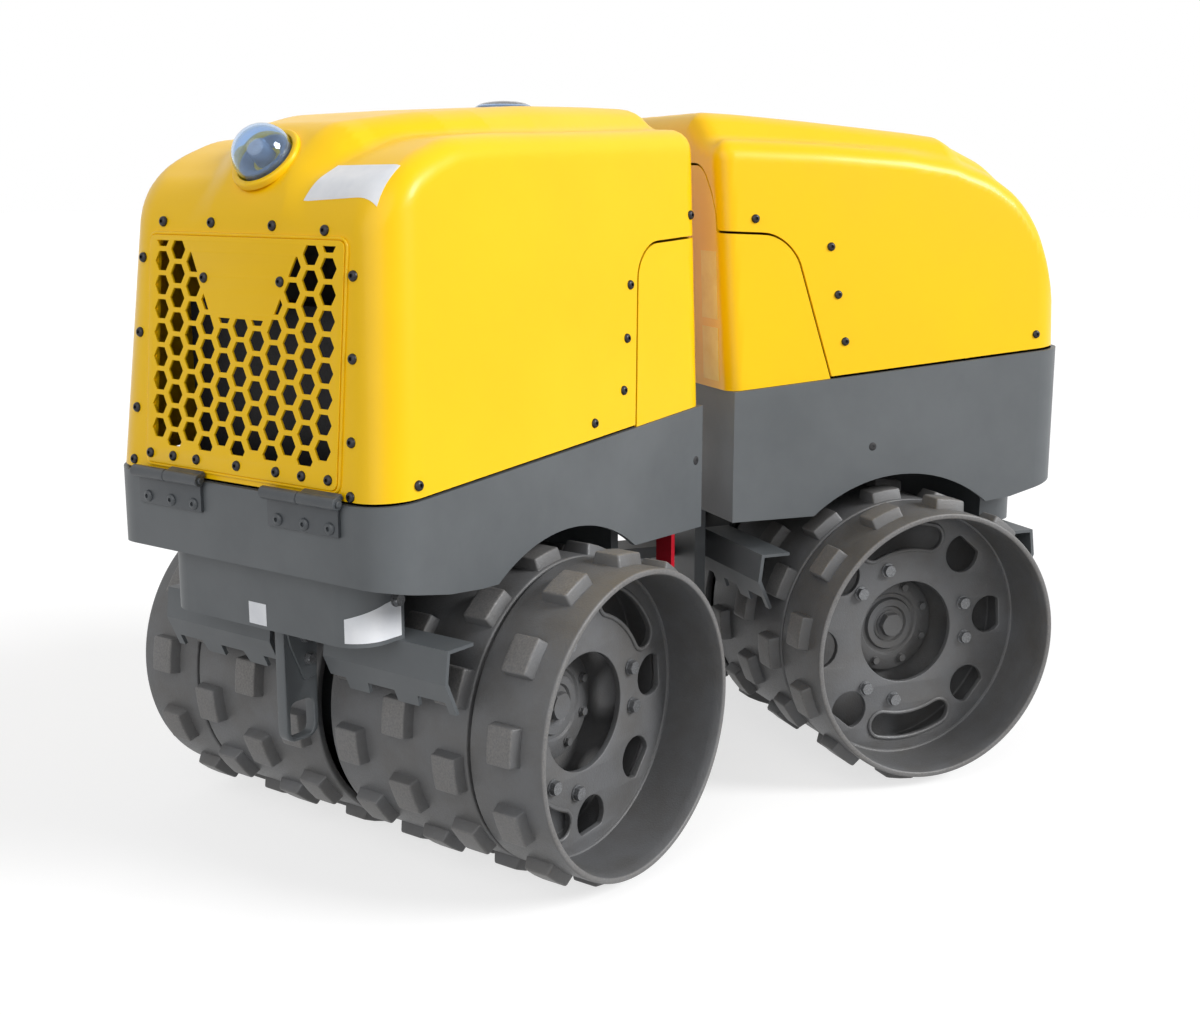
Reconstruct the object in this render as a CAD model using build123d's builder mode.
from build123d import *
import os
from math import atan2, cos, degrees, hypot, radians, sin

# Articulated trench roller, straight ahead along +X, left side +Y, heights measured from the axles.
# Each half is drawn in its own straight frame around the steering pin, then the rear half is turned.

# Driving dimensions, in millimetres and degrees
steer_angle = 31.8
pin_to_axle = 448.5
running_gap = 5.0
shaft_clearance = 0.05
seat_gap = 0.3

# Drums: padded shells of flat facets, with the pads in rows that are staggered by one facet
drum_shell_radius = 227.5
drum_shell_wall = 10.0
drum_facets = 24
drum_gap = 28.0
inner_drum_length = 266.0
extension_length = 130.0
pad_height = 17.0
pads_per_row = 12
pad_base_length = 50.0
pad_base_width = 56.0
pad_top_length = 40.0
pad_top_width = 50.0
first_row = 60.0
row_pitch = 93.5
extension_row = 347.0
front_phase = 6.3
rear_phase = 9.0
web_inset = 40.0
web_thickness = 12.0
disc_inset = 18.0
disc_thickness = 10.0
disc_hole_radius = 89.0
axle_radius = 35.0
hub_radius = 84.0
hub_thickness = 12.0
hub_nut_radius = 22.0
hub_nut_height = 14.0

# Chassis and hoods
body_half_width = 280.0
nose_x = 820.0
tail_x = -779.0
joint_face_front = 99.0
joint_face_rear = -125.0
plate_wall = 8.0
corner_radius = 60.0
joint_corner_radius = 25.0
arch_clearance = 27.5
floor_clearance = 41.5
floor_thickness = 12.0
hood_wall = 5.0
hood_gap = 4.0

pad_reach = drum_shell_radius + pad_height
arch_radius = pad_reach + arch_clearance
floor_height = pad_reach + floor_clearance
inner_drum_start = drum_gap / 2
inner_drum_end = inner_drum_start + inner_drum_length
rim_end = inner_drum_end + extension_length
shell_bore = drum_shell_radius - drum_shell_wall
facet_angle = 360 / drum_facets
facet_distance = drum_shell_radius * cos(radians(facet_angle / 2))
front_axle_x = pin_to_axle
rear_axle_x = -pin_to_axle

# Side outlines of the chassis bands as x, z corners: top edge, joint face, arch side, skirt, outer end
front_band = [(nose_x, 357), (joint_face_front, 411), (joint_face_front, 213), (640, 222),
              (705, 228), (nose_x, 250)]
rear_band = [(tail_x, 476), (joint_face_rear, 427), (joint_face_rear, 212), (-600, 210),
             (-669, 217), (tail_x, 244)]
above_all = 1000.0

pieces = []


def keep(shape, label, half):
    """Note a finished piece, its node name and the half that carries it."""
    shape.label = label
    pieces.append((shape, half))


def side_extrusion(points, half_width):
    """A closed side outline drawn on XZ and carried to both sides."""
    with BuildPart() as block:
        with BuildSketch(Plane.XZ):
            with BuildLine():
                Polyline(*points, close=True)
            make_face()
        extrude(amount=half_width, both=True)
    return block.part


def cross_extrusion(points, x_low, x_high):
    """A closed outline of y, z corners drawn across the machine and carried from x_low to x_high."""
    with BuildPart() as block:
        with BuildSketch(Plane.YZ.offset(x_low)):
            with BuildLine():
                Polyline(*points, close=True)
            make_face()
        extrude(amount=x_high - x_low)
    return block.part


def plan_outline(x_low, x_high, half_width, outer_radius, joint_radius, ends):
    """The plan of one half as a rectangle, rounded at its outer end, +1 for high x, and at the joint."""
    with Locations(((x_low + x_high) / 2, 0)):
        Rectangle(x_high - x_low, 2 * half_width)
    by_x = vertices().sort_by(Axis.X)
    fillet(by_x[-2:] if ends > 0 else by_x[:2], outer_radius)
    if joint_radius:
        by_x = vertices().sort_by(Axis.X)
        fillet(by_x[:2] if ends > 0 else by_x[-2:], joint_radius)


def plan_prism(x_low, x_high, half_width, radius, low, high, ends):
    """An upright prism on that plan, square at the joint."""
    with BuildPart() as prism:
        with BuildSketch(Plane.XY.offset(low)):
            plan_outline(x_low, x_high, half_width, radius, 0, ends)
        extrude(amount=high - low)
    return prism.part


def arch_cut(axle_x, half_width):
    """The round space that the drums turn in, open to both sides."""
    with BuildPart() as arch:
        with BuildSketch(Plane.XZ):
            with Locations((axle_x, 0)):
                Circle(arch_radius)
        extrude(amount=half_width, both=True)
    return arch.part


# Chassis band of each half: closed ring of plate with wheel arches, floor and joint plate
cylinder_height = 184.0
steering_arm = 80.0
barrel_radius = 20.0
cylinder_room = 12.0


def chassis(outline, end_x, joint_x, axle_x, ends):
    low_x = min(end_x, joint_x)
    high_x = max(end_x, joint_x)
    inner_width = body_half_width - plate_wall
    inner_radius = corner_radius - plate_wall
    around = plan_prism(low_x, high_x, body_half_width, corner_radius, 0, above_all, ends)
    inner_low = low_x + plate_wall
    inner_high = high_x - plate_wall
    within = plan_prism(inner_low, inner_high, inner_width, inner_radius, 0, above_all, ends)
    with BuildPart() as band:
        add(side_extrusion(outline, body_half_width))
        add(around, mode=Mode.INTERSECT)
        add(within, mode=Mode.SUBTRACT)
        add(arch_cut(axle_x, body_half_width + plate_wall), mode=Mode.SUBTRACT)
        add(plan_prism(inner_low, inner_high, inner_width, inner_radius, floor_height,
                       floor_height + floor_thickness, ends))
    return band.part


keep(chassis(front_band, nose_x, joint_face_front, front_axle_x, 1), "front_chassis", "front")

# The steering cylinder passes through a window in the rear joint plate
window_half_width = 45.0
window_top = cylinder_height + barrel_radius + cylinder_room
with BuildPart() as rear_chassis:
    add(chassis(rear_band, tail_x, joint_face_rear, rear_axle_x, -1))
    with BuildSketch(Plane.XY):
        with Locations((joint_face_rear - plate_wall / 2, -steering_arm)):
            Rectangle(2 * plate_wall, 2 * window_half_width)
    extrude(amount=window_top, mode=Mode.SUBTRACT)
keep(rear_chassis.part, "rear_chassis", "rear")

# Lower box under each outer end, with its back cut round to clear the drums
box_half_width = 197.0
box_low = 154.0
box_depth = 84.0
box_inset = 29.0
box_corner_radius = 48.0


def end_box(end_x, axle_x, ends):
    outer = end_x - ends * box_inset
    inner = outer - ends * box_depth
    with BuildPart() as box:
        add(plan_prism(min(outer, inner), max(outer, inner), box_half_width, box_corner_radius, box_low,
                       floor_height, ends))
        add(arch_cut(axle_x, box_half_width + plate_wall), mode=Mode.SUBTRACT)
    return box.part


keep(end_box(nose_x, front_axle_x, 1), "front_end_box", "front")
keep(end_box(tail_x, rear_axle_x, -1), "rear_end_box", "rear")

# Drum carrier: neck plate in the central gap and the round gear housing inside the drums
neck_thickness = drum_gap - 2 * running_gap
neck_length = 150.0
housing_radius = 150.0
housing_half_length = 180.0
housing_sides = 20


def drum_carrier(axle_x):
    with BuildPart() as carrier:
        with BuildSketch(Plane.XZ):
            with Locations((axle_x, floor_height / 2)):
                Rectangle(neck_length, floor_height)
        extrude(amount=neck_thickness / 2, both=True)
        with BuildSketch(Plane.XZ):
            with Locations((axle_x, 0)):
                RegularPolygon(housing_radius, housing_sides)
        extrude(amount=housing_half_length, both=True)
        with BuildSketch(Plane.XZ):
            with Locations((axle_x, 0)):
                Circle(axle_radius + shaft_clearance)
        extrude(amount=housing_half_length, both=True, mode=Mode.SUBTRACT)
    return carrier.part


keep(drum_carrier(front_axle_x), "front_drum_carrier", "front")
keep(drum_carrier(rear_axle_x), "rear_drum_carrier", "rear")

# One pad, a block that tapers from the facet to its tip, pointing along +X at the height of its row
with BuildPart() as pad:
    with BuildSketch(Plane.YZ.offset(facet_distance - 1)):
        Rectangle(pad_base_width, pad_base_length)
    with BuildSketch(Plane.YZ.offset(pad_reach)):
        Rectangle(pad_top_width, pad_top_length)
    loft()


# Drums are drawn standing on their inner end, with the axle along +Z, and laid over afterwards
def shell(outer, inner, start, end):
    with BuildPart() as ring:
        with BuildSketch(Plane.XY.offset(start)):
            RegularPolygon(outer, drum_facets)
            RegularPolygon(inner, drum_facets, mode=Mode.SUBTRACT)
        extrude(amount=end - start)
    return ring.part


def pad_rows(rows):
    """Pads of each row, given as its distance from the middle and its stagger in facets."""
    with BuildPart() as padding:
        for distance, stagger in rows:
            with Locations((0, 0, distance)):
                with PolarLocations(0, pads_per_row, start_angle=facet_angle * (stagger + 0.5)):
                    add(pad.part)
    return padding.part


inner_rows = [(first_row, 1), (first_row + row_pitch, 0), (first_row + 2 * row_pitch, 1)]
web_end = inner_drum_end - web_inset
with BuildPart() as inner_drum:
    add(shell(drum_shell_radius, shell_bore, inner_drum_start, inner_drum_end))
    add(pad_rows(inner_rows))
    with BuildSketch(Plane.XY.offset(web_end - web_thickness)):
        RegularPolygon(shell_bore + 1, drum_facets)
        RegularPolygon(axle_radius, drum_facets, mode=Mode.SUBTRACT)
    extrude(amount=web_thickness)

# Openings of the extension's disc, on one pitch circle: two bean slots and six round holes with a flat
opening_circle = 168.0
bean_half_angle = 21.0
bean_half_width = 22.0
hole_radius = 33.0
bean_places = (0.0, 180.0)
hole_places = (45.0, 90.0, 135.0, 225.0, 270.0, 315.0)
bean_turn = {"front": 63.8, "rear": 111.5}
hole_arc = (45, 90, 135, 180, 225, 270, 315)


def spot(radius, angle):
    return (radius * cos(radians(angle)), radius * sin(radians(angle)))


def bean(place):
    """Outline of a slot bent along the circle of openings, from one pointed end around to the other."""
    outer = [spot(opening_circle + bean_half_width, place + bean_half_angle * step) for step in (-1, 0, 1)]
    inner = [spot(opening_circle - bean_half_width, place + bean_half_angle * step) for step in (1, 0, -1)]
    ends = [spot(opening_circle, place + bean_half_angle * step) for step in (1.3, -1.3)]
    return outer + ends[:1] + inner + ends[1:]


def extension(turn):
    """Drum extension along +Z: shell with one row of pads and a disc whose openings are turned."""
    with BuildPart() as ring:
        add(shell(drum_shell_radius, shell_bore, inner_drum_end, rim_end))
        add(pad_rows([(extension_row, 0)]))
        with BuildSketch(Plane.XY.offset(inner_drum_end + disc_inset)):
            RegularPolygon(shell_bore + 1, drum_facets)
            RegularPolygon(disc_hole_radius, drum_facets // 2, mode=Mode.SUBTRACT)
            for place in bean_places:
                with BuildLine():
                    Polyline(*bean(place + turn), close=True)
                make_face(mode=Mode.SUBTRACT)
            for place in hole_places:
                with Locations(spot(opening_circle, place + turn)):
                    with BuildLine(mode=Mode.PRIVATE) as edge:
                        Polyline(*[spot(hole_radius, place + turn + step) for step in hole_arc], close=True)
                    make_face(edge.line, mode=Mode.SUBTRACT)
        extrude(amount=disc_thickness)
    return ring.part


# Axle along +Z with a stepped hub and a hexagon nut at each end
def axle_shaft():
    with BuildPart() as shaft:
        with BuildSketch(Plane.XY):
            RegularPolygon(axle_radius, drum_facets)
        extrude(amount=web_end, both=True)
        for side in (1, -1):
            with BuildSketch(Plane.XY.offset(side * web_end)):
                RegularPolygon(hub_radius, drum_facets)
            extrude(amount=side * hub_thickness)
            with BuildSketch(Plane.XY.offset(side * (web_end + hub_thickness))):
                RegularPolygon(hub_nut_radius, 6)
            extrude(amount=side * hub_nut_height)
    return shaft.part


# half, axle place, angle of the pad rows from straight ahead, upwards
for half, axle_x, phase in (("front", front_axle_x, front_phase), ("rear", rear_axle_x, rear_phase)):
    left = Location((axle_x, 0, 0)) * Rot(0, -(phase + facet_angle / 2), 0) * Rot(-90, 0, 0)
    for name, part in (("drum", inner_drum.part), ("drum_extension", extension(bean_turn[half]))):
        keep(left * part, f"{half}_{name}_left", half)
        keep(mirror(left * part, about=Plane.XZ), f"{half}_{name}_right", half)
    keep(left * axle_shaft(), f"{half}_axle", half)

# Centre joint: housing on the front half, yoke that rolls in it, upright pin, fork on the rear half
joint_height = 50.0
mount_plate = 20.0
mount_half_width = 120.0
roll_shaft_radius = 35.0
roll_housing_radius = 62.0
roll_housing_length = 55.0
roll_flange = 12.0
roll_collar = 10.0
eye_radius = 42.0
eye_half_height = 50.0
pin_radius = 20.0
pin_head = 10.0
ear_thickness = 20.0
ear_gap = 1.0
fork_half_width = 34.0
round_sides = 24

upper_ear = joint_height + eye_half_height + ear_gap
lower_ear = joint_height - eye_half_height - ear_gap - ear_thickness
eye_low = joint_height - eye_half_height
front_mount_face = joint_face_front + plate_wall
rear_mount_face = joint_face_rear - plate_wall
housing_end = front_mount_face - roll_housing_length
flange_face = housing_end - ear_gap
collar_face = front_mount_face + mount_plate + ear_gap

with BuildPart() as front_joint_mount:
    with BuildSketch(Plane.YZ.offset(front_mount_face)):
        with Locations((0, (lower_ear + floor_height) / 2)):
            Rectangle(2 * mount_half_width, floor_height - lower_ear)
    extrude(amount=mount_plate)
    with BuildSketch(Plane.YZ.offset(housing_end)):
        with Locations((0, joint_height)):
            RegularPolygon(roll_housing_radius, round_sides)
    extrude(amount=roll_housing_length)
    with BuildSketch(Plane.YZ.offset(housing_end)):
        with Locations((0, joint_height)):
            Circle(roll_shaft_radius + shaft_clearance)
    extrude(amount=roll_housing_length + mount_plate, mode=Mode.SUBTRACT)
keep(front_joint_mount.part, "front_joint_mount", "front")

# The yoke: roll shaft with flange and collar, eye for the upright pin, arm and post for the cylinder
arm_width = 26.0
post_radius = 24.0
post_top_gap = 20.0
yoke_back = flange_face - roll_flange
with BuildPart() as centre_yoke:
    for face, length, radius in (
        (yoke_back, roll_flange, roll_housing_radius),
        (collar_face, roll_collar, roll_shaft_radius + roll_collar),
    ):
        with BuildSketch(Plane.YZ.offset(face)):
            with Locations((0, joint_height)):
                RegularPolygon(radius, round_sides)
        extrude(amount=length)
    with BuildSketch(Plane.YZ.offset(flange_face)):
        with Locations((0, joint_height)):
            Circle(roll_shaft_radius)
    extrude(amount=collar_face - flange_face)
    with BuildSketch(Plane.XY.offset(eye_low)):
        RegularPolygon(eye_radius, round_sides)
        with Locations((yoke_back / 2, 0)):
            Rectangle(yoke_back, 2 * eye_radius)
        with Locations((yoke_back / 2 + ear_gap, -steering_arm / 2)):
            Rectangle(arm_width, steering_arm)
    extrude(amount=2 * eye_half_height)
    with BuildSketch(Plane.XY.offset(eye_low)):
        with Locations((0, -steering_arm)):
            RegularPolygon(post_radius, round_sides // 2)
    extrude(amount=cylinder_height - post_top_gap - eye_low)
    with BuildSketch(Plane.XY.offset(eye_low)):
        Circle(pin_radius + shaft_clearance)
    extrude(amount=2 * eye_half_height, mode=Mode.SUBTRACT)
keep(centre_yoke.part, "centre_yoke", "front")

# The fork: mount plate with the cylinder's window, and an ear above and below the yoke's eye
with BuildPart() as rear_fork:
    with BuildSketch(Plane.YZ.offset(rear_mount_face - mount_plate)):
        with Locations((0, (lower_ear + floor_height) / 2)):
            Rectangle(2 * mount_half_width, floor_height - lower_ear)
        with Locations((-steering_arm, cylinder_height)):
            Rectangle(2 * window_half_width, 2 * (cylinder_height - eye_low), mode=Mode.SUBTRACT)
    extrude(amount=mount_plate)
    for low in (lower_ear, upper_ear):
        with BuildSketch(Plane.XY.offset(low)):
            RegularPolygon(fork_half_width, round_sides)
            with Locations((rear_mount_face / 2, 0)):
                Rectangle(-rear_mount_face, 2 * fork_half_width)
            Circle(pin_radius + shaft_clearance, mode=Mode.SUBTRACT)
        extrude(amount=ear_thickness)
keep(rear_fork.part, "rear_fork", "rear")

with BuildPart() as pivot_pin:
    with BuildSketch(Plane.XY.offset(lower_ear)):
        Circle(pin_radius)
    extrude(amount=upper_ear + ear_thickness - lower_ear)
    with BuildSketch(Plane.XY.offset(upper_ear + ear_thickness)):
        RegularPolygon(pin_radius + pin_head, round_sides // 2)
    extrude(amount=pin_head)
keep(pivot_pin.part, "pivot_pin", "rear")

# Steering cylinder: barrel on the rear half, rod to the yoke's arm, open at the rod's eye
barrel_pin = (-215.0, -steering_arm)
barrel_length = 118.0
barrel_neck = 18.0
barrel_end = 7.0
rod_radius = 10.0
rod_length = 143.0
rod_neck = 12.0
cylinder_pin_radius = 8.0
eye_wall = 8.0
eye_thickness = 14.0
pin_drift = 8.5
turn = radians(steer_angle)
rest_eye = (steering_arm * sin(turn), -steering_arm * cos(turn))
reach = hypot(rest_eye[0] - barrel_pin[0], rest_eye[1] - barrel_pin[1])
lean = degrees(atan2(rest_eye[1] - barrel_pin[1], rest_eye[0] - barrel_pin[0]))
cylinder_frame = Location((barrel_pin[0], barrel_pin[1], cylinder_height), (0, 0, lean))

with BuildPart() as barrel:
    with BuildSketch(Plane.YZ.offset(barrel_neck)):
        RegularPolygon(barrel_radius, round_sides)
    extrude(amount=barrel_length)
    with BuildSketch(Plane.YZ.offset(barrel_neck + barrel_end)):
        Circle(rod_radius + shaft_clearance)
    extrude(amount=barrel_length, mode=Mode.SUBTRACT)
    with BuildSketch(Plane.XY.offset(-eye_thickness / 2)):
        RegularPolygon(cylinder_pin_radius + eye_wall + 2, round_sides // 2)
        with Locations((barrel_neck / 2 + 1, 0)):
            Rectangle(barrel_neck + 2, 2 * eye_thickness)
        Circle(cylinder_pin_radius + shaft_clearance, mode=Mode.SUBTRACT)
    extrude(amount=eye_thickness)
keep(cylinder_frame * barrel.part, "steering_cylinder_barrel", "rear")

with BuildPart() as rod:
    with BuildSketch(Plane.YZ.offset(reach - rod_length)):
        Circle(rod_radius)
    extrude(amount=rod_length - rod_neck)
    with BuildSketch(Plane.XY.offset(-eye_thickness / 2)):
        with Locations((reach, 0)):
            RegularPolygon(cylinder_pin_radius + pin_drift + eye_wall, round_sides)
            Circle(cylinder_pin_radius + pin_drift, mode=Mode.SUBTRACT)
    extrude(amount=eye_thickness)
keep(cylinder_frame * rod.part, "steering_cylinder_rod", "rear")

# Pin that carries the barrel, hung from the rear floor on a stepped boss
with BuildPart() as cylinder_pin:
    with BuildSketch(Plane.XY.offset(cylinder_height - eye_thickness)):
        with Locations(barrel_pin):
            Circle(cylinder_pin_radius)
    extrude(amount=floor_height - cylinder_height + eye_thickness)
    with BuildSketch(Plane.XY.offset(cylinder_height + eye_thickness / 2 + ear_gap)):
        with Locations(barrel_pin):
            RegularPolygon(2 * cylinder_pin_radius, round_sides // 2)
    extrude(amount=floor_height - cylinder_height - eye_thickness / 2 - ear_gap)
keep(cylinder_pin.part, "steering_cylinder_pin", "rear")

# Pin on the yoke's arm that the rod's eye runs on
with BuildPart() as arm_pin:
    with BuildSketch(Plane.XY.offset(cylinder_height - post_top_gap)):
        with Locations((0, -steering_arm)):
            Circle(cylinder_pin_radius)
    extrude(amount=post_top_gap + eye_thickness)
keep(arm_pin.part, "steering_arm_pin", "front")

# Hoods: a leaning plan with rounded corners, cut by a low shoulder line and a higher one over the middle
hood_low = 300.0
hood_plans = {
    # height, outer end, joint face, half width
    "front": ((hood_low, nose_x + 1, joint_face_front + 1, body_half_width + 4),
              (above_all - 100, nose_x - 53, joint_face_front - 24, body_half_width - 37)),
    "rear": ((hood_low, tail_x + 4, joint_face_rear, body_half_width + 4),
             (above_all - 100, tail_x + 4, joint_face_rear + 25, body_half_width - 37)),
}
shoulder_edge = 820.0
shoulder_rise = 852.0
shoulder_radius = 42.0
plateau_foot = 186.0
plateau_edge = 148.0
plateau_foot_height = 836.0
crown_height = 870.0
plateau_radius = 20.0
nose_room = nose_x + 40
tail_room = tail_x - 11
joint_room = 50.0
front_shoulder = [(joint_room, 842), (300, 832), (560, 824), (nose_x - 180, 818), (nose_x - 115, 794),
                  (nose_x - 50, 752), (nose_room, 665), (nose_room, hood_low), (joint_room, hood_low)]
front_crown = [(joint_room, 873), (209, 872), (375, 868), (584, 853), (nose_x - 123, 836), (nose_room, 666),
               (nose_room, hood_low), (joint_room, hood_low)]
rear_shoulder = [(-joint_room, 830), (-300, 822), (-460, 812), (-550, 798), (tail_x + 147, 772),
                 (tail_x + 89, 735), (tail_x + 47, 680), (tail_x + 17, 615), (tail_room, 540),
                 (tail_room, hood_low), (-joint_room, hood_low)]
rear_crown = [(-joint_room, 875), (-189, 869), (-306, 860), (-426, 849), (-500, 842), (-560, 834),
              (-561, 825), (tail_x + 139, 794), (tail_x + 79, 748), (tail_x + 37, 685), (tail_x + 13, 620),
              (tail_room, 560), (tail_room, hood_low), (-joint_room, hood_low)]


def width_at(height):
    """Half width of a hood's leaning side at a height."""
    low, high = hood_plans["front"]
    return low[3] + (high[3] - low[3]) * (height - low[0]) / (high[0] - low[0])


def ridge(line, half_section, radius, inset):
    """A side line carried across, crossed with a section whose top corners are rounded."""
    low_x = min(x for x, _ in line)
    high_x = max(x for x, _ in line)
    top = half_section[-1 if half_section[-1][0] else -2][1]
    across = half_section + [(-y, z) for y, z in reversed(half_section) if y]
    lowered = [(x, z - inset) if z > hood_low else (x, z) for x, z in line]
    with BuildPart() as form:
        with BuildSketch(Plane.YZ.offset(low_x)):
            with BuildLine():
                Polyline(*across, close=True)
            make_face()
            fillet([corner for corner in vertices() if abs(corner.Y - top) < 1], radius - inset)
        extrude(amount=high_x - low_x)
        add(side_extrusion(lowered, body_half_width + plate_wall), mode=Mode.INTERSECT)
    return form.part


def leaning_plan(half, inset):
    """The plan of one hood, lofted between its two heights."""
    ends = 1 if half == "front" else -1
    with BuildPart() as plan:
        for height, end_x, joint_x, half_width in hood_plans[half]:
            with BuildSketch(Plane.XY.offset(height)):
                plan_outline(min(end_x, joint_x) + inset, max(end_x, joint_x) - inset, half_width - inset,
                             corner_radius - inset, joint_corner_radius - inset, ends)
        loft(ruled=True)
    return plan.part


def hood_body(half, inset):
    """The closed form of one hood, shrunk by the inset on every wall but the open bottom."""
    shoulder_line = front_shoulder if half == "front" else rear_shoulder
    crown_line = front_crown if half == "front" else rear_crown
    side = width_at(hood_low) + seat_gap - inset
    edge = width_at(shoulder_edge) + seat_gap - inset
    foot = plateau_foot - inset
    shoulder = [(side, hood_low), (edge, shoulder_edge - inset), (0, shoulder_rise - inset)]
    rim = (plateau_edge - inset, crown_height - inset)
    plateau = [(foot, hood_low), (foot, plateau_foot_height - inset), rim]
    with BuildPart() as form:
        add(ridge(shoulder_line, shoulder, shoulder_radius, inset))
        add(ridge(crown_line, plateau, plateau_radius, inset))
        add(leaning_plan(half, inset), mode=Mode.INTERSECT)
    return form.part


# Fixed panels beside the joint: x, z corners of the seam on each side wall, and its outline on the joint face
seams = {
    "front": [(joint_room, 0), (joint_room, 678), (joint_face_front + 151, 668),
              (joint_face_front + 191, hood_low), (joint_face_front + 191, 0)],
    "rear": [(-joint_room, 0), (-joint_room, 684), (joint_face_rear - 110, 676), (joint_face_rear - 181, 440),
             (joint_face_rear - 187, 0)],
}
seam_radius = 50.0
face_seam_low = 600.0
face_seam_foot = 236.0
face_seam_edge = 188.0
face_seam_top = 788.0
face_seam_slant = 65.0
face_seam_depth = 30.0


def seam_space(half, gap):
    """The space of a fixed panel, smaller by the gap on every side."""
    joint_x = joint_face_front if half == "front" else joint_face_rear
    shoulder = (face_seam_foot, face_seam_top - face_seam_slant)
    across = [(face_seam_foot, face_seam_low), shoulder, (face_seam_edge, face_seam_top)]
    with BuildPart() as space:
        with BuildSketch(Plane.XZ):
            with BuildLine():
                Polyline(*seams[half], close=True)
            make_face()
            fillet(vertices().sort_by(lambda corner: abs(corner.X - seams[half][2][0]))[0], seam_radius)
            offset(amount=-gap, kind=Kind.INTERSECTION)
        extrude(amount=body_half_width + plate_wall, both=True)
        with BuildSketch(Plane.YZ.offset(joint_x - face_seam_depth)):
            with BuildLine():
                Polyline(*across, *[(-y, z) for y, z in reversed(across)], close=True)
            make_face()
            offset(amount=-gap, kind=Kind.INTERSECTION)
        extrude(amount=2 * face_seam_depth)
    return space.part


def below_band(band, gap):
    """All that lies under the top edge of a chassis band, raised by the gap, past both of its ends."""
    (end_x, end_z), (joint_x, joint_z) = band[:2]
    slope = (end_z - joint_z) / (end_x - joint_x)
    past = 0.1 * (end_x - joint_x)
    corners = [(end_x + past, end_z + slope * past + gap), (joint_x - past, joint_z - slope * past + gap)]
    return side_extrusion(corners + [(joint_x - past, 0), (end_x + past, 0)], body_half_width + plate_wall)


bands = {"front": front_band, "rear": rear_band}


def hood_shell(half):
    with BuildPart() as shell:
        add(hood_body(half, 0))
        add(hood_body(half, hood_wall), mode=Mode.SUBTRACT)
        add(below_band(bands[half], hood_gap), mode=Mode.SUBTRACT)
        add(seam_space(half, 0), mode=Mode.SUBTRACT)
    return shell.part


def joint_panel(half):
    with BuildPart() as panel:
        add(hood_body(half, 0))
        add(hood_body(half, hood_wall), mode=Mode.SUBTRACT)
        add(seam_space(half, hood_gap), mode=Mode.INTERSECT)
        add(below_band(bands[half], 0), mode=Mode.SUBTRACT)
    return panel.part


keep(hood_shell("rear"), "rear_hood", "rear")
for half in ("front", "rear"):
    keep(joint_panel(half), f"{half}_joint_panel", half)

# The nose of the front hood leans back with the grille in its middle. Its slope and crown carry a dome each.
(nose_low, nose_low_x, *_), (nose_high, nose_high_x, *_) = hood_plans["front"]
nose_lean = (nose_low_x - nose_high_x) / (nose_high - nose_low)
grille_middle = 535.0
grille_width = 380.0
grille_height = 326.0
grille_border = 14.0
grille_corner = 10.0
grille_sheet = 4.0
grille_x = nose_low_x - nose_lean * (grille_middle - nose_low)
grille_plane = Plane(origin=(grille_x, 0, grille_middle), x_dir=(0, 1, 0), z_dir=(1, 0, nose_lean))
slope_top, slope_low = front_crown[4:6]
slope_fall = (slope_top[1] - slope_low[1]) / (slope_low[0] - slope_top[0])
nose_dome_x = nose_x - 78
nose_dome_plane = Plane(origin=(nose_dome_x, 0, slope_top[1] - slope_fall * (nose_dome_x - slope_top[0])),
                        x_dir=(0, 1, 0), z_dir=(slope_fall, 0, 1))
crown_dome_plane = Plane(origin=(250, 0, crown_height), x_dir=(0, 1, 0), z_dir=(0, 0, 1))
nose_dome_radius = 42.0
crown_dome_radius = 45.0
dome_seat_width = 10.0
dome_seat_height = 4.0

with BuildPart() as front_hood:
    add(hood_shell("front"))
    with BuildSketch(grille_plane):
        Rectangle(grille_width - 2 * grille_border, grille_height - 2 * grille_border)
    extrude(amount=2 * grille_border, both=True, mode=Mode.SUBTRACT)
    with BuildSketch(nose_dome_plane):
        RegularPolygon(nose_dome_radius + dome_seat_width, round_sides)
    extrude(amount=dome_seat_height)
    for plane, radius in ((nose_dome_plane, nose_dome_radius), (crown_dome_plane, crown_dome_radius)):
        with BuildSketch(plane):
            RegularPolygon(radius + seat_gap, round_sides)
        extrude(amount=dome_seat_width, both=True, mode=Mode.SUBTRACT)
keep(front_hood.part, "front_hood", "front")

# Grille panel: a sheet punched with hexagons in staggered columns, left whole where a plate would sit
hex_across = 26.0
hex_column = 32.5
hex_row = 33.0
hex_columns = 11
hex_first_row = -146.0
blank_low = 50.0
blank_half_width = 48.0
blank_spread = 0.55


def is_blank(across, up):
    """Whether a place on the panel lies in the whole trapezoid near the top."""
    half_width = blank_half_width + hex_across / 2 + blank_spread * (up - blank_low)
    return up > blank_low and abs(across) < half_width


hex_places = []
for column in range(hex_columns):
    across = (column - (hex_columns - 1) / 2) * hex_column
    for row in range(round(grille_height / hex_row)):
        up = hex_first_row + hex_row * (row + (0.5 if column % 2 else 0))
        if up < grille_height / 2 - grille_border and not is_blank(across, up):
            hex_places.append((across, up))

with BuildPart() as front_grille:
    with BuildSketch(grille_plane):
        RectangleRounded(grille_width, grille_height, grille_corner)
        with Locations(*hex_places):
            RegularPolygon(hex_across / 2, 6, major_radius=False, mode=Mode.SUBTRACT)
    extrude(amount=grille_sheet)
keep(front_grille.part, "front_grille", "front")

# Lamp domes: a short skirt through the hood and a round cap, lofted from rings of flats
dome_sides = 16
dome_steps = (0, 25, 50, 72)
dome_depth = hood_wall + 3


def dome(plane, radius, skirt, rise):
    rings = [(-dome_depth, radius)]
    for step in dome_steps:
        rings.append((skirt + rise * sin(radians(step)), radius * cos(radians(step))))
    with BuildPart() as cap:
        for height, ring in rings:
            with BuildSketch(plane.offset(height)):
                RegularPolygon(ring, dome_sides)
        loft(ruled=True)
    return cap.part


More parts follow.
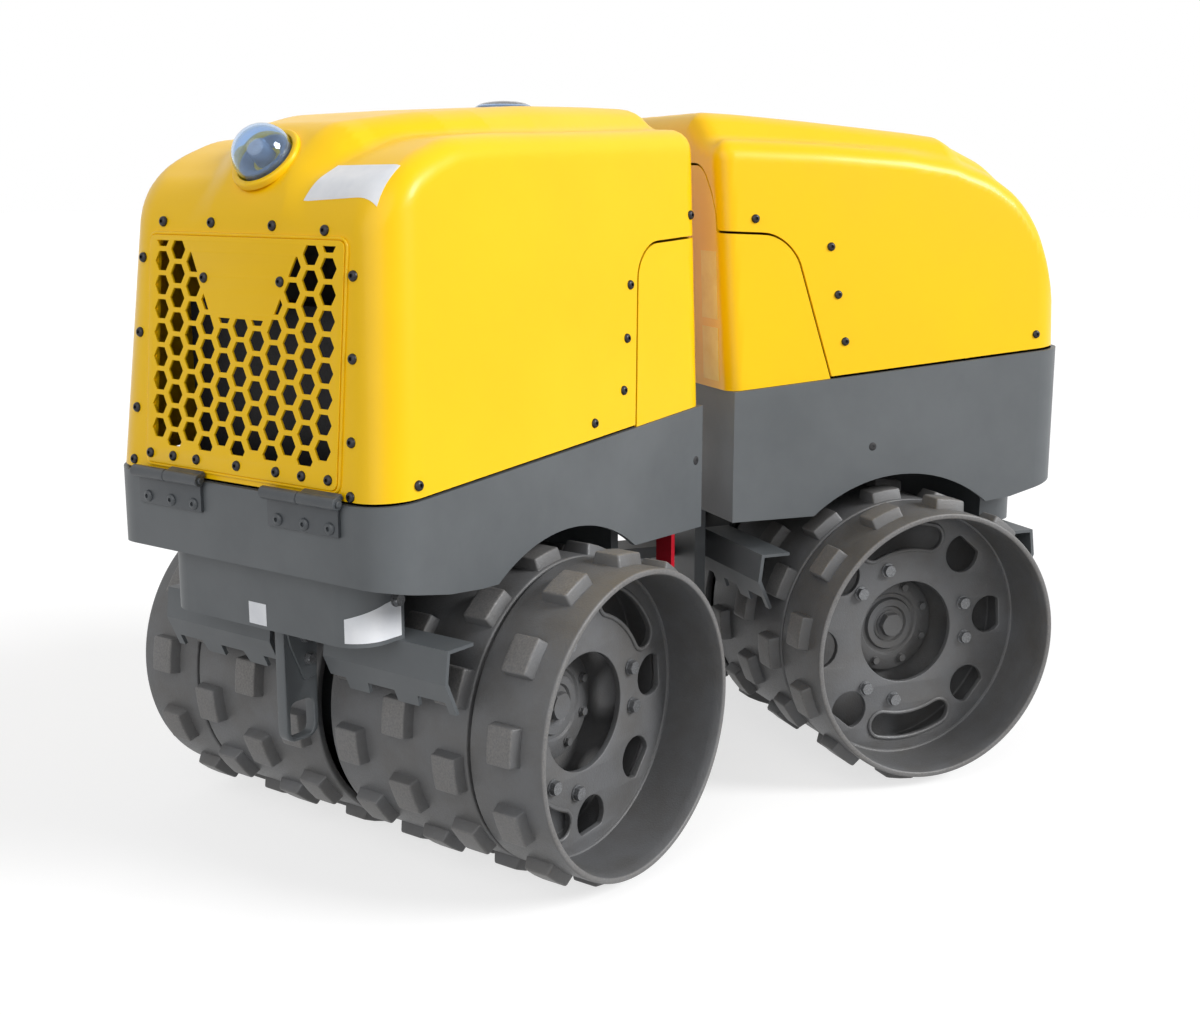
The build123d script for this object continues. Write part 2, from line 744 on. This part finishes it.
# name, plane, radius, skirt above the hood, rise of the cap
for name, plane, radius, skirt, rise in (
    ("front_dome", nose_dome_plane, nose_dome_radius, 8, 42),
    ("top_dome", crown_dome_plane, crown_dome_radius, 2, 12),
):
    keep(dome(plane, radius, skirt, rise), name, "front")

# Hinges under each hood: half the barrels on the chassis with the pin, half on the hood
hinge_length = 140.0
hinge_radius = 9.0
hinge_sides = 12
hinge_pin_radius = 4.0
upper_leaf = 11.0
lower_leaf = -24.0
hinge_rise = 3.0
hinge_places = (-133.0, 133.0)


def hinge(half, end_x, height, ends, upper):
    """The leaves and barrels of one half's hinges, upper on the hood or lower on the chassis."""
    axis_x = end_x + ends * (hinge_radius + seat_gap)
    leaf = upper_leaf if upper else lower_leaf
    span = (hinge_length - seat_gap) / 2
    with BuildPart() as leaves:
        for middle in hinge_places:
            start = -(middle + seat_gap / 2 if upper else middle - hinge_length / 2)
            with BuildSketch(Plane.XZ.offset(start)):
                with Locations((axis_x, height)):
                    RegularPolygon(hinge_radius, hinge_sides)
                with Locations((axis_x - ends * hinge_radius, height + leaf / 2)):
                    Rectangle(2 * hinge_radius, abs(leaf))
            extrude(amount=-span)
            with BuildSketch(Plane.XZ.offset(start)):
                with Locations((axis_x, height)):
                    Circle(hinge_pin_radius + (shaft_clearance if upper else 0))
            extrude(amount=-(span if upper else hinge_length), mode=Mode.SUBTRACT if upper else Mode.ADD)
        if upper:
            add(hood_body(half, 0), mode=Mode.SUBTRACT)
            add(below_band(bands[half], hood_gap), mode=Mode.SUBTRACT)
        else:
            add(plan_prism(min(end_x, 0), max(end_x, 0), body_half_width, corner_radius, 0, above_all, ends),
                mode=Mode.SUBTRACT)
    return leaves.part


for half, end_x, ends in (("front", nose_x, 1), ("rear", tail_x, -1)):
    height = bands[half][0][1] + hinge_rise
    keep(hinge(half, end_x, height, ends, False), f"{half}_hinge_lower", half)
    keep(hinge(half, end_x, height, ends, True), f"{half}_hinge_upper", half)

# Scrapers before and behind each pair of drums: bent plate with teeth that reach between the rows of pads
scraper_start = 55.0
scraper_end = 285.0
scraper_sheet = 5.0
scraper_profile = [(218, box_low), (270, box_low), (276, 108), (254, 60), (249, 62), (270, 110),
                   (265, box_low - scraper_sheet), (218, box_low - scraper_sheet)]
scraper_bend = 270.0
tooth_low = 50.0
tooth_high = 78.0
tooth_slant = 8.0
bracket_start = 16.0
bracket_width = 44.0
bracket_height = 18.0
scraper_room = arch_radius + plate_wall


def scrapers(axle_x, ends, mount_x):
    """Both pairs of one half: the outer under the end box, the other on brackets to the joint mount."""
    with BuildPart() as plates:
        for way in (ends, -ends):
            for side in (1, -1):
                with BuildSketch(Plane.XZ.offset(-side * scraper_start)):
                    with BuildLine():
                        Polyline(*[(axle_x + way * reach, z) for reach, z in scraper_profile], close=True)
                    make_face()
                extrude(amount=-side * (scraper_end - scraper_start))
        for row, _ in inner_rows:
            low = row - pad_base_length / 2
            high = row + pad_base_length / 2
            for side in (1, -1):
                notch = [(side * (low - tooth_slant), tooth_low), (side * high, tooth_low),
                         (side * high, tooth_high), (side * low, tooth_high)]
                add(cross_extrusion(notch, axle_x - scraper_room, axle_x + scraper_room), mode=Mode.SUBTRACT)
        shelf_x = axle_x - ends * scraper_bend
        with BuildSketch(Plane.XY.offset(box_low - bracket_height)):
            for side in (1, -1):
                with Locations(((shelf_x + mount_x) / 2, side * (bracket_start + bracket_width / 2))):
                    Rectangle(abs(shelf_x - mount_x), bracket_width)
        extrude(amount=bracket_height)
    return plates.part


keep(scrapers(front_axle_x, 1, front_mount_face + mount_plate), "front_scrapers", "front")
keep(scrapers(rear_axle_x, -1, rear_mount_face - mount_plate), "rear_scrapers", "rear")

# Tow lug under each end box, in line with the gap between the drums
lug_reach = 276.0
lug_height = 5.0
lug_hole_radius = 20.0
lug_rim = 12.0
lug_thickness = drum_gap - 2 * running_gap


def tow_lug(axle_x, ends):
    middle = axle_x + ends * lug_reach
    outer = lug_hole_radius + lug_rim
    with BuildPart() as lug:
        with BuildSketch(Plane.XZ):
            with Locations((middle, lug_height)):
                RegularPolygon(outer, round_sides)
            with Locations((middle, (lug_height + box_low) / 2)):
                Rectangle(2 * outer, box_low - lug_height)
            with Locations((middle, lug_height)):
                Circle(lug_hole_radius, mode=Mode.SUBTRACT)
        extrude(amount=lug_thickness / 2, both=True)
    return lug.part


keep(tow_lug(front_axle_x, 1), "front_tow_lug", "front")
keep(tow_lug(rear_axle_x, -1), "rear_tow_lug", "rear")

# Engine, cooler behind the grille and hydraulic block, plain blocks at their real places on the floor plate
# name, half, x, length, width, height
blocks = (
    ("engine_block", "front", front_axle_x - 38, 380, 340, 380),
    ("cooler", "front", nose_x - 108, 60, 340, 300),
    ("hydraulic_block", "rear", rear_axle_x + 28, 420, 360, 300),
)
for name, half, x, length, width, height in blocks:
    with BuildPart() as block:
        with BuildSketch(Plane.XY.offset(floor_height + floor_thickness)):
            with Locations((x, 0)):
                Rectangle(length, width)
        extrude(amount=height)
    keep(block.part, name, half)

# Red bar that locks the joint for transport, stowed upright on the front joint plate
lock_bar_inset = 93.0
lock_bar_width = 30.0
lock_bar_thickness = 10.0
lock_bar_length = 122.0
lock_bar_hook = 18.0
hook_top = front_band[2][1] + 2 * lock_bar_thickness
bar_face = joint_face_front - lock_bar_hook
with BuildPart() as lock_bar:
    with BuildSketch(Plane.XZ.offset(lock_bar_inset - body_half_width)):
        with Locations((joint_face_front - lock_bar_hook / 2, hook_top - lock_bar_thickness / 2)):
            Rectangle(lock_bar_hook, lock_bar_thickness)
        with Locations((bar_face + lock_bar_thickness / 2, hook_top - lock_bar_length / 2)):
            Rectangle(lock_bar_thickness, lock_bar_length)
    extrude(amount=-lock_bar_width)
keep(lock_bar.part, "lock_bar", "front")

# Turn the rear half, centre the whole on its box and stand it on the floor
turned = {"front": Location((0, 0, 0)), "rear": Location((0, 0, 0), (0, 0, -steer_angle))}
placed = [(turned[half] * shape, shape.label) for shape, half in pieces]
boxes = [shape.bounding_box() for shape, _ in placed]
x_mid = (min(b.min.X for b in boxes) + max(b.max.X for b in boxes)) / 2
y_mid = (min(b.min.Y for b in boxes) + max(b.max.Y for b in boxes)) / 2
z_low = min(b.min.Z for b in boxes)
centre = Location((-x_mid, -y_mid, -z_low))
print("pivot at", round(-x_mid, 3), round(-y_mid, 3), "axle height", round(-z_low, 3))

os.makedirs("parts", exist_ok=True)
for shape, label in placed:
    piece = centre * shape
    piece.label = label
    export_step(piece, f"parts/{label}.step")
